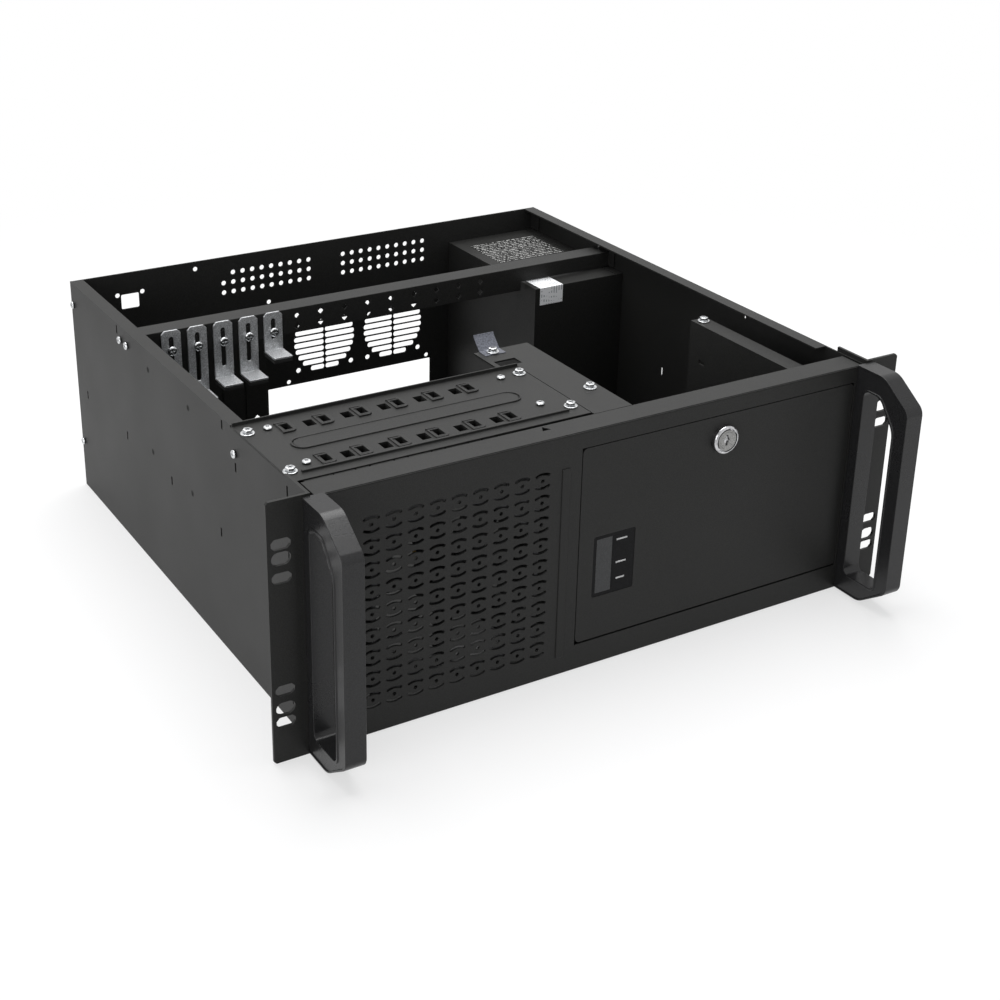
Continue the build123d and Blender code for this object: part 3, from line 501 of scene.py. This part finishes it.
# Front panel: a steel pan, punched with a grille of curved slots round small holes, with
# an opening for the door, a keeper for the lock, a pressed bead beside the door and a
# folded top flange with a small three-cornered notch.
bow, bow_middle, bow_angle = 0.0105, -0.0057, radians(31)
bpy.ops.object.select_all(action="DESELECT")
bpy.ops.mesh.primitive_plane_add(
    size=1,
    location=(-bow * sin(bow_angle), 0, bow_middle + bow * cos(bow_angle)),
    rotation=(0, pi / 2 - bow_angle, 0),
)
upper = bpy.context.object
upper.scale = (0.0019, 0.012, 1)
bpy.ops.object.transform_apply(location=True, rotation=True, scale=True)
bpy.ops.object.mode_set(mode="EDIT")
bpy.ops.mesh.select_all(action="SELECT")
bpy.ops.mesh.spin(steps=8, angle=2 * bow_angle, center=(0, 0, bow_middle), axis=(0, -1, 0))
bpy.ops.mesh.select_all(action="SELECT")
bpy.ops.mesh.normals_make_consistent(inside=False)
bpy.ops.object.mode_set(mode="OBJECT")
bevelled(upper, lambda at, way: abs(way.y) > 0.9 and abs(at.x) > 0.0048, 0.0007, 3)
grille_unit = joined(
    [upper, copied(upper, (0, 0, 0), (0, pi, 0)), disc_at((0, 0, 0), "Y", 0.0013, 0.012, 12)]
)
grille_x, grille_z, pitch_x, pitch_z = -0.1133, 0.0854, 0.0151, 0.0153
units = []
for column in range(9):
    for row in range(9):
        spot = (grille_x + (column - 4) * pitch_x, panel_front, grille_z + (row - 4) * pitch_z)
        units.append(copied(grille_unit, spot))
bpy.data.objects.remove(grille_unit)
panel_back = panel_front + 0.0016
front_sheet = box_at((-0.2097, panel_front, 0.0004), (0.2097, panel_back, case_top))
door_opening = through(panel_front, (-0.0235, 0.0191), (0.2037, 0.1625))
cut(front_sheet, joined(units + [door_opening]))
rounded(front_sheet, 0.0002, 1)
flange = box_at((-0.2097, panel_front, 0.1728), (0.2097, panel_front + 0.0208, case_top))
cut(flange, disc_at((-0.042, panel_front + 0.0158, case_top), "Z", 0.0034, 0.01, 3))
keeper = box_at((0.0781, panel_front + 0.001, 0.163), (0.1021, panel_front + 0.0081, 0.1646))
bead = box_at((-0.0384, panel_front - 0.0007, 0.0135), (-0.0324, panel_front + 0.0002, 0.1515))
sheets = [
    front_sheet,
    rounded(flange, 0.0005, 3),
    rounded(keeper, 0.0004),
    rounded(bead, 0.00068, 3),
]
for low_x in (-0.2097, 0.2085):
    wing = box_at((low_x, panel_front, 0.0204), (low_x + 0.0012, panel_front + 0.0188, 0.1735))
    sheets.append(rounded(wing, 0.0003))
for low_x in (-0.0254, 0.204):
    lug = box_at((low_x, panel_back, 0.0185), (low_x + 0.0016, panel_front + 0.008, 0.0295))
    sheets.append(rounded(lug, 0.0003))
fitted(painted(joined(sheets), powder_coat), "front_panel")

# Rack ears: thick bent steel, each with two groups of three slots for the posts of a
# rack, under the same coat. Three narrow slots in the leg hook over the side wall.
for side, node in ((-1, "left_ear"), (1, "right_ear")):
    ear = merged(node)
    leg_x = side * 0.2141
    hooks = [
        box_at(
            (leg_x - 0.003, panel_front + 0.0264, z - 0.005),
            (leg_x + 0.003, panel_front + 0.0284, z + 0.005),
        )
        for z in (0.165, 0.121, 0.024)
    ]
    cut(ear, joined(hooks))
    fitted(painted(rounded(ear, 0.0005, 3), powder_coat), node)

# Handles: loops cast in alloy, with rounded corners, a fine ledge round the sides and
# round the grip window, and a satin black coat that is shinier than the sheet's.
handle_coat = coated("handle_coat", (0.012, 0.012, 0.0125), 1500, 0.3, 0.28, 0.0, 0.3)
grip_low, ledge_depth, ledge_width = 0.0166, 0.0007, 0.0013


def tapered(piece, length, share, middle_z):
    """Draws the front face of a piece out by a length and narrows it about a height."""
    picked(piece, "FACE", lambda at, out: out.y < -0.9)
    bpy.ops.mesh.extrude_region_move(TRANSFORM_OT_translate={"value": (0, -length, 0)})
    bpy.ops.transform.resize(value=(1, 1, share), center_override=(0, 0, middle_z))
    bpy.ops.object.mode_set(mode="OBJECT")


def handle_loop(low_x, high_x, rim):
    """A loop with slanted corners round a window, made smaller on all sides by a rim."""
    outer = box_at(
        (low_x, panel_front - 0.026, 0.0016 + rim),
        (high_x, panel_front - 0.0001, 0.1756 - rim),
    )
    tapered(outer, 0.0252 - rim, 0.799, 0.0886)
    bevelled(outer, lambda at, way: abs(way.x) > 0.9 and at.y < panel_front - 0.02, 0.004, 4)
    window = box_at(
        (low_x - 0.01, panel_front - 0.024 - rim, grip_low - rim),
        (high_x + 0.01, panel_front - 0.009 + rim, 0.1596 + rim),
    )
    tapered(window, 0.0147, 0.86, grip_low - rim)
    bevelled(window, lambda at, way: abs(way.x) > 0.9, 0.0045, 4)
    return cut(outer, window)


for side, node in ((-1, "left_handle"), (1, "right_handle")):
    low_x, high_x = sorted((side * 0.2045, side * 0.2187))
    handle = handle_loop(low_x, high_x, 0)
    cut(handle, handle_loop(low_x - 0.001, low_x + ledge_depth, ledge_width))
    cut(handle, handle_loop(high_x - ledge_depth, high_x + 0.001, ledge_width))
    fitted(painted(rounded(handle, 0.0005, 3), handle_coat), node)
ear_screws = [
    (side * 0.2169, panel_front + 0.002, z) for side in (-1, 1) for z in (0.0096, 0.1676)
]
screwed(pan_head, "handle_screws", ear_screws, (-pi / 2, 0, 0), 0.58)

# Door: a shallow steel pan with rounded corners, coated like the panel round it, hinged
# on two steel pins at its lower edge and pierced for the window and the lock.
hinge_y, hinge_z = panel_front + 0.0032, 0.0237
lock_x, lock_z = 0.0901, 0.145


def hollowed(piece, test, wall, depth):
    """Moves the faces of a piece that pass a test along Y, with a wall left round them."""
    picked(piece, "FACE", test)
    bpy.ops.mesh.inset(thickness=wall, depth=0)
    bpy.ops.mesh.extrude_region_move(TRANSFORM_OT_translate={"value": (0, depth, 0)})
    bpy.ops.object.mode_set(mode="OBJECT")


door = box_at((-0.023, panel_front, 0.0205), (0.2032, panel_front + 0.006, 0.162))
bevelled(door, lambda at, way: abs(way.y) > 0.9, 0.0035, 5)
hollowed(door, lambda at, out: out.y > 0.9, 0.0016, -0.0044)
window_opening = box_at(
    (-0.0114, panel_front - 0.01, 0.0515), (0.0216, panel_front + 0.004, 0.0963)
)
openings = [
    rounded(window_opening, 0.0014, 3),
    disc_at((lock_x, panel_front, lock_z), "Y", 0.0088, 0.02, 40),
    disc_at((-0.023, hinge_y, hinge_z), "X", 0.0019, 0.01, 20),
    disc_at((0.2032, hinge_y, hinge_z), "X", 0.0019, 0.01, 20),
]
cut(door, joined(openings))
fitted(painted(rounded(door, 0.0004, 3), powder_coat), "front_door")
pins = [disc_at((x, hinge_y, hinge_z), "X", 0.0014, 0.0036, 20) for x in (-0.022, 0.2022)]
fitted(painted(rounded(joined(pins), 0.0003), zinc), "hinge_pins")

# Window: a smoked plate glued into the door, with a milky strip over the lamps of the
# case. Three small plain bars mark the lamps.
smoked = coated("smoked_plate", (0.003, 0.003, 0.0035), 300, 0.0, 0.25, 0.0, 0.1)
strip_paint = coated("strip_film", (0.028, 0.029, 0.03), 1200, 0.05, 0.4, 0.0, 0.3)
bar_ink = coated("bar_ink", (0.42, 0.42, 0.42), 900, 0.02, 0.5)
plate = box_at((-0.0113, panel_front + 0.0002, 0.0516), (0.0215, panel_front + 0.0016, 0.0962))
lip = box_at((-0.0134, panel_front + 0.0016, 0.0495), (0.0236, panel_front + 0.0026, 0.0983))
strip = box_at((-0.0089, panel_front + 0.0001, 0.0541), (0.0034, panel_front + 0.0003, 0.0938))
shade = box_at((0.0045, panel_front + 0.0001, 0.0541), (0.0196, panel_front + 0.0003, 0.0938))
pieces = [
    painted(rounded(plate, 0.0002), smoked),
    painted(rounded(lip, 0.0002), smoked),
    painted(rounded(strip, 0.0001, 1), strip_paint),
    painted(rounded(shade, 0.0001, 1), smoked),
]
bar_x, half_height = 0.011, 0.0006
for z, half_length in ((0.0905, 0.0042), (0.0735, 0.0040), (0.0615, 0.0034)):
    bar = box_at(
        (bar_x - half_length, panel_front, z - half_height),
        (bar_x + half_length, panel_front + 0.0002, z + half_height),
    )
    pieces.append(painted(rounded(bar, 0.00004, 1), bar_ink))
fitted(joined(pieces), "door_window")
milky = coated("milky_plastic", (0.4, 0.4, 0.385), 6000, 0.02, 0.4)
softened("light_guide", milky, 0.0003)

# Lock: a turned barrel with a rounded shoulder, chromed and held by a hexagon nut behind
# the door. A flat cylinder with a keyhole turns in it and carries a bent steel cam.
chrome = coated("polished_chrome", (0.44, 0.44, 0.45), 260, 0.02, 0.12, 1.0)
satin_nickel = coated("satin_nickel", (0.24, 0.24, 0.235), 1400, 0.12, 0.32, 1.0)
barrel_front, shoulder_radius = panel_front - 0.0043, 0.0095
barrel = disc_at((lock_x, panel_front - 0.0022, lock_z), "Y", 0.0102, 0.0044, 64)
hollowed(barrel, lambda at, out: out.y < -0.9, 0.002, 0.0019)
bevelled(
    barrel,
    lambda at, way: at.y < barrel_front
    and (at.x - lock_x) ** 2 + (at.z - lock_z) ** 2 > shoulder_radius**2,
    0.0019,
    8,
)
neck = disc_at((lock_x, panel_front + 0.00405, lock_z), "Y", 0.0086, 0.0081, 48)
fitted(painted(rounded(joined([barrel, neck]), 0.0001, 1), chrome), "lock_barrel")
softened("lock_nut", zinc, 0.0005)
softened("lock_cam", zinc, 0.0003)
cylinder = disc_at((lock_x, panel_front - 0.0036, lock_z), "Y", 0.0074, 0.0016, 64)
picked(cylinder, "FACE", lambda at, out: out.y < -0.9)
bpy.ops.mesh.inset(thickness=0.0012, depth=0)
bpy.ops.mesh.inset(thickness=0.0005, depth=-0.0006)
bpy.ops.object.mode_set(mode="OBJECT")
plug = disc_at((lock_x, panel_front + 0.0028, lock_z), "Y", 0.0064, 0.0112, 40)
for piece in (cylinder, plug):
    keyway = box_at((0.0892, -0.2, 0.1413), (0.091, panel_front + 0.004, 0.1487))
    cut(piece, rounded(keyway, 0.0003))
    cut(piece, disc_at((lock_x, panel_front - 0.003, lock_z), "Y", 0.0023, 0.01, 20))
# The plug is cast zinc coloured near black as painted shade, so the pit of the keyhole reads
# dark.
keyhole_shade_zinc = coated("keyhole_shade_zinc", (0.05, 0.05, 0.052), 1200, 0.15, 0.5, 0.7)
pieces = [
    painted(rounded(cylinder, 0.0002), satin_nickel),
    painted(rounded(plug, 0.0003), keyhole_shade_zinc),
]
fitted(joined(pieces), "lock_cylinder")

# Behind the door: a coated plate, three plastic blanks clipped into the drive bays, and
# two push buttons and a pair of sockets in moulded plastic housings.
softened("bay_face_plate", powder_coat)
black_plastic = coated("black_plastic", (0.018, 0.018, 0.019), 2200, 0.12, 0.45, 0.0, 0.35)
for node in (
    "bay_blank_1",
    "bay_blank_2",
    "bay_blank_3",
    "power_button",
    "reset_button",
    "switch_housings",
    "socket_block",
):
    softened(node, black_plastic, 0.0005)

# Bay frame and right bay wall: folded steel sheets, coated like the case and pierced with
# the slots that drives are screwed through. A bent spring clip earths the cover.
softened("bay_frame", powder_coat)
softened("bay_right_wall", powder_coat)
clip = merged("grounding_clip")
for low, high in (
    ((-0.015, -0.055, 0.17), (-0.0112, -0.03, 0.19)),
    ((0.0052, -0.055, 0.17), (0.009, -0.03, 0.19)),
    ((-0.015, -0.055, 0.184), (0.009, -0.03, 0.19)),
):
    cut(clip, box_at(low, high))
clip_steel = coated("clip_steel", (0.1, 0.105, 0.125), 900, 0.05, 0.42, 0.6)
fitted(painted(rounded(clip, 0.0001, 1), clip_steel), "grounding_clip")

# Drive cage: a folded channel under a lid. The lid is one pressed sheet with a long oval
# ridge and two rows of slots, each beside a louver raised like a hood. The sheet from
# each opening stays on it as a tongue, bent down inside the cage.
softened("drive_cage", powder_coat)
lid = rounded(merged("cage_lid"), 0.0003)
bpy.ops.object.select_all(action="DESELECT")
bpy.ops.mesh.primitive_plane_add(size=1, location=(-0.10975, panel_front + 0.0698, 0.1741))
ridge = bpy.context.object
ridge.scale = (0.165, 0.0165, 1)
bpy.ops.object.transform_apply(location=True, rotation=True, scale=True)
bpy.ops.object.mode_set(mode="EDIT")
bpy.ops.mesh.select_all(action="SELECT")
bpy.ops.mesh.bevel(offset=0.0082, segments=10, affect="VERTICES")
bpy.ops.mesh.select_mode(type="FACE")
bpy.ops.mesh.select_all(action="SELECT")
bpy.ops.mesh.inset(thickness=0.0011, depth=0)
bpy.ops.mesh.delete(type="FACE")
bpy.ops.mesh.select_all(action="SELECT")
bpy.ops.mesh.extrude_region_move(TRANSFORM_OT_translate={"value": (0, 0, 0.0008)})
bpy.ops.mesh.select_all(action="SELECT")
bpy.ops.mesh.normals_make_consistent(inside=False)
bpy.ops.object.mode_set(mode="OBJECT")


def bent_round(low, high, radius):
    """A box with the upright edges at its right side bent round."""
    piece = box_at(low, high)
    return bevelled(piece, lambda at, way: abs(way.z) > 0.9 and at.x > 0, radius, 5)


hood = bent_round((-0.0048, -0.0078, 0.1729), (0.0054, 0.0078, 0.1751), 0.0036)
cut(hood, box_at((-0.01, -0.0064, 0.1743), (-0.0012, 0.0064, 0.18)))
cut(hood, bent_round((-0.0014, -0.0064, 0.17), (0.003, 0.0064, 0.18), 0.002))
rounded(hood, 0.0004, 3)
tongue = box_at((-0.0034, -0.0046, 0.164), (0.0038, 0.0052, 0.1729))
cut(tongue, box_at((-0.01, -0.01, 0.16), (0.0032, 0.0046, 0.18)))
rounded(tongue, 0.0002, 1)
hood_pitch, slot_gap, back_row, front_row = 0.0266, 0.0098, 0.096, 0.043
hoods = []
for i in range(6):
    for row in (back_row, front_row):
        spot = Vector((-0.1843 + i * hood_pitch, panel_front + row, 0))
        if i == 0 and row == front_row:
            spot.x += 0.0018
        if i:
            hoods.append(copied(tongue, spot - Vector((slot_gap, 0, 0))))
        hoods.append(copied(tongue, spot))
        hoods.append(copied(hood, spot))
bpy.data.objects.remove(hood)
bpy.data.objects.remove(tongue)
fitted(painted(joined([lid, rounded(ridge, 0.0004, 3)] + hoods), powder_coat), "cage_lid")
lid_screws = [
    (x, panel_front + y, case_top)
    for x, y in ((-0.1946, 0.0996), (-0.1948, 0.0431), (-0.0228, 0.1002), (-0.0236, 0.0502))
]
screwed(pan_head, "pan_screws", lid_screws, (0, 0, 0.5))

# Washer-head screws: hexagon heads with a cross recess on a broad flange, zinc plated.
# They hold the lid and the bay frame down, the clip at the back of the frame and the
# right bay wall.
hex_head = rounded(disc_at((0, 0, 0.0022), "Z", 0.0033, 0.0024, 6), 0.0005, 3)
crossed(hex_head, 0.0018, 0.0004, 0.0024, 0.005)
washer = rounded(disc_at((0, 0, 0.0005), "Z", 0.0046, 0.001, 28), 0.0004, 3)
washer_head = joined([washer, hex_head])
washer_screws = [
    (x, panel_front + y, z)
    for x, y, z in (
        (-0.2086, 0.0988, case_top),
        (-0.2086, 0.0366, case_top),
        (-0.0075, 0.1014, case_top),
        (-0.0079, 0.0381, case_top),
        (0.021, 0.0581, case_top),
        (-0.003, 0.1433, 0.1745),
    )
]
screwed(washer_head, "flange_screws", washer_screws, (0, 0, 0.3))
bay_wall_screw = joined([copied(washer_head, (0.1822, -0.0482, 0.165), (0, 0, 0.8))])
painted(bay_wall_screw, zinc)
bay_wall_screw.name = "bay_wall_screw"
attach(bay_wall_screw, "case")
bpy.data.objects.remove(washer_head)

# Front fan: a square moulded frame, screwed behind the grille, with a hub on four arms
# and a rotor of seven blades.
softened("front_fan_frame", black_plastic, 0.0006)
softened("front_fan_rotor", black_plastic, 0.0004)

# Crossbar: a folded angle between the side walls. Five bare zinc-plated angles hang on
# it, each held by a screw in its slot, and press cards down with rubber pads.
softened("crossbar", powder_coat)
hold_zinc = coated("bare_zinc", (0.5, 0.51, 0.52), 1100, 0.1, 0.36, 0.55)
rubber = coated("black_rubber", (0.015, 0.015, 0.015), 1500, 0.3, 0.75, 0.0, 0.3)
for i in range(5):
    softened(f"card_hold_down_{i + 1}", hold_zinc, 0.0002)
    softened(f"hold_down_pad_{i + 1}", rubber, 0.0004)
hold_screws = [(-0.1791 + i * card_pitch, 0.114, 0.153) for i in range(5)]
screwed(pan_head, "clamp_screws", hold_screws, (pi / 2, 0, 0), 1.25)

# Case screws: the same pan heads, driven through the side walls into the drive cage, the
# crossbar and the rear panel, and through the rear panel into the power supply.
wall_heads = []
for side in (-1, 1):
    for y, z in (
        (0.4235, 0.156),
        (0.4235, 0.0402),
        (0.3174, 0.163),
        (0.3036, 0.1632),
        (0.1103, 0.1565),
    ):
        spot = (side * 0.213, panel_front + y, z)
        wall_heads.append(copied(pan_head, spot, (0, side * pi / 2, 0)))
for x in (0.1288, 0.2084):
    for z in (0.0106, 0.1486):
        wall_heads.append(copied(pan_head, (x, rear, z), (-pi / 2, 0, 0)))
fitted(painted(joined(wall_heads), zinc), "case_screws")
bpy.data.objects.remove(pan_head)

# Power supply: a coated steel box with a round fan behind a wire guard, an inlet and a
# rocker switch at the rear. Its top carries a dark printed label with plain ruled lines,
# and a white paper seal is folded over its front edge.
ruled_print = bpy.data.node_groups.new("ruled_print", "ShaderNodeTree")
for name, way, kind in (
    ("Ground", "INPUT", "NodeSocketColor"),
    ("Ink", "INPUT", "NodeSocketColor"),
    ("Lines", "INPUT", "NodeSocketFloat"),
    ("Cover", "INPUT", "NodeSocketFloat"),
    ("Down", "INPUT", "NodeSocketVector"),
    ("Breaks", "INPUT", "NodeSocketVector"),
    ("Colour", "OUTPUT", "NodeSocketColor"),
):
    ruled_print.interface.new_socket(name, in_out=way, socket_type=kind)
nodes, links = ruled_print.nodes, ruled_print.links
given = nodes.new("NodeGroupInput")
place = nodes.new("ShaderNodeTexCoord")
across = nodes.new("ShaderNodeVectorMath")
across.operation = "DOT_PRODUCT"
counted = nodes.new("ShaderNodeMath")
counted.operation = "MULTIPLY"
fraction = nodes.new("ShaderNodeMath")
fraction.operation = "FRACT"
inked = nodes.new("ShaderNodeMath")
inked.operation = "LESS_THAN"
inked.inputs[1].default_value = 0.45
stretched = nodes.new("ShaderNodeVectorMath")
stretched.operation = "MULTIPLY"
broken = nodes.new("ShaderNodeTexNoise")
broken.inputs["Scale"].default_value = 1
broken.inputs["Detail"].default_value = 1
kept = nodes.new("ShaderNodeMath")
kept.operation = "LESS_THAN"
both = nodes.new("ShaderNodeMath")
both.operation = "MULTIPLY"
mixed = nodes.new("ShaderNodeMix")
mixed.data_type = "RGBA"
given_out = nodes.new("NodeGroupOutput")
links.new(place.outputs["Object"], across.inputs[0])
links.new(given.outputs["Down"], across.inputs[1])
links.new(place.outputs["Object"], stretched.inputs[0])
links.new(given.outputs["Breaks"], stretched.inputs[1])
links.new(across.outputs["Value"], counted.inputs[0])
links.new(given.outputs["Lines"], counted.inputs[1])
links.new(counted.outputs["Value"], fraction.inputs[0])
links.new(fraction.outputs["Value"], inked.inputs[0])
links.new(stretched.outputs["Vector"], broken.inputs["Vector"])
links.new(broken.outputs["Fac"], kept.inputs[0])
links.new(given.outputs["Cover"], kept.inputs[1])
links.new(inked.outputs["Value"], both.inputs[0])
links.new(kept.outputs["Value"], both.inputs[1])
links.new(both.outputs["Value"], mixed.inputs["Factor"])
links.new(given.outputs["Ground"], mixed.inputs["A"])
links.new(given.outputs["Ink"], mixed.inputs["B"])
links.new(mixed.outputs["Result"], given_out.inputs["Colour"])


def printed(name, ground, ink, lines, cover, down, breaks):
    """A printed sheet with ruled, broken lines."""
    paint = bpy.data.materials.new(name)
    paint.use_nodes = True
    nodes, links = paint.node_tree.nodes, paint.node_tree.links
    surface = nodes["Principled BSDF"]
    surface.inputs["Roughness"].default_value = 0.5
    surface.inputs["Specular IOR Level"].default_value = 0.12
    sheet = nodes.new("ShaderNodeGroup")
    sheet.node_tree = ruled_print
    sheet.inputs["Ground"].default_value = (*ground, 1)
    sheet.inputs["Ink"].default_value = (*ink, 1)
    sheet.inputs["Lines"].default_value = lines
    sheet.inputs["Cover"].default_value = cover
    sheet.inputs["Down"].default_value = down
    sheet.inputs["Breaks"].default_value = breaks
    links.new(sheet.outputs["Colour"], surface.inputs["Base Color"])
    return paint


supply_top, supply_front = 0.1546, 0.0969
label_print = printed(
    "dark_label", (0.006, 0.006, 0.006), (0.34, 0.34, 0.33), 250, 0.5, (0, 1, 0), (1200, 250, 1)
)
seal_print = printed(
    "paper_seal", (0.78, 0.79, 0.8), (0.4, 0.41, 0.43), 420, 0.45, (1, 0, 0), (80, 500, 500)
)
supply = rounded(merged("supply_case"), 0.0006, 3)
label = box_at((0.136, 0.1551, supply_top - 0.0001), (0.2, 0.2181, supply_top + 0.0002))
seal_over = box_at(
    (0.13, supply_front - 0.0002, supply_top - 0.0001),
    (0.152, supply_front + 0.026, supply_top + 0.0002),
)
seal_down = box_at(
    (0.1301, supply_front - 0.0003, 0.14),
    (0.1519, supply_front + 0.0001, supply_top + 0.0001),
)
sheets = [
    painted(supply, powder_coat),
    painted(rounded(label, 0.0001, 1), label_print),
    painted(rounded(seal_over, 0.0001, 1), seal_print),
    painted(rounded(seal_down, 0.0001, 1), seal_print),
]
fitted(joined(sheets), "supply_case")
softened("supply_fan_rotor", black_plastic, 0.0003)
guard_y = sum(corner[1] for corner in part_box("supply_fan_guard")) / 2
fan_centre = (0.1686, guard_y, 0.052)
wires = [rounded(disc_at(fan_centre, way, 0.0009, 0.073, 12), 0.0004) for way in ("X", "Z")]
for radius in (0.0331, 0.0251, 0.0171, 0.0091):
    bpy.ops.object.select_all(action="DESELECT")
    bpy.ops.mesh.primitive_torus_add(
        location=fan_centre,
        rotation=(pi / 2, 0, 0),
        major_radius=radius,
        minor_radius=0.0008,
        major_segments=48,
        minor_segments=8,
    )
    bpy.ops.object.shade_smooth()
    wires.append(bpy.context.object)
fitted(painted(joined(wires), chrome), "supply_fan_guard")
softened("supply_inlet", black_plastic, 0.0004)
softened("supply_switch", black_plastic, 0.0004)
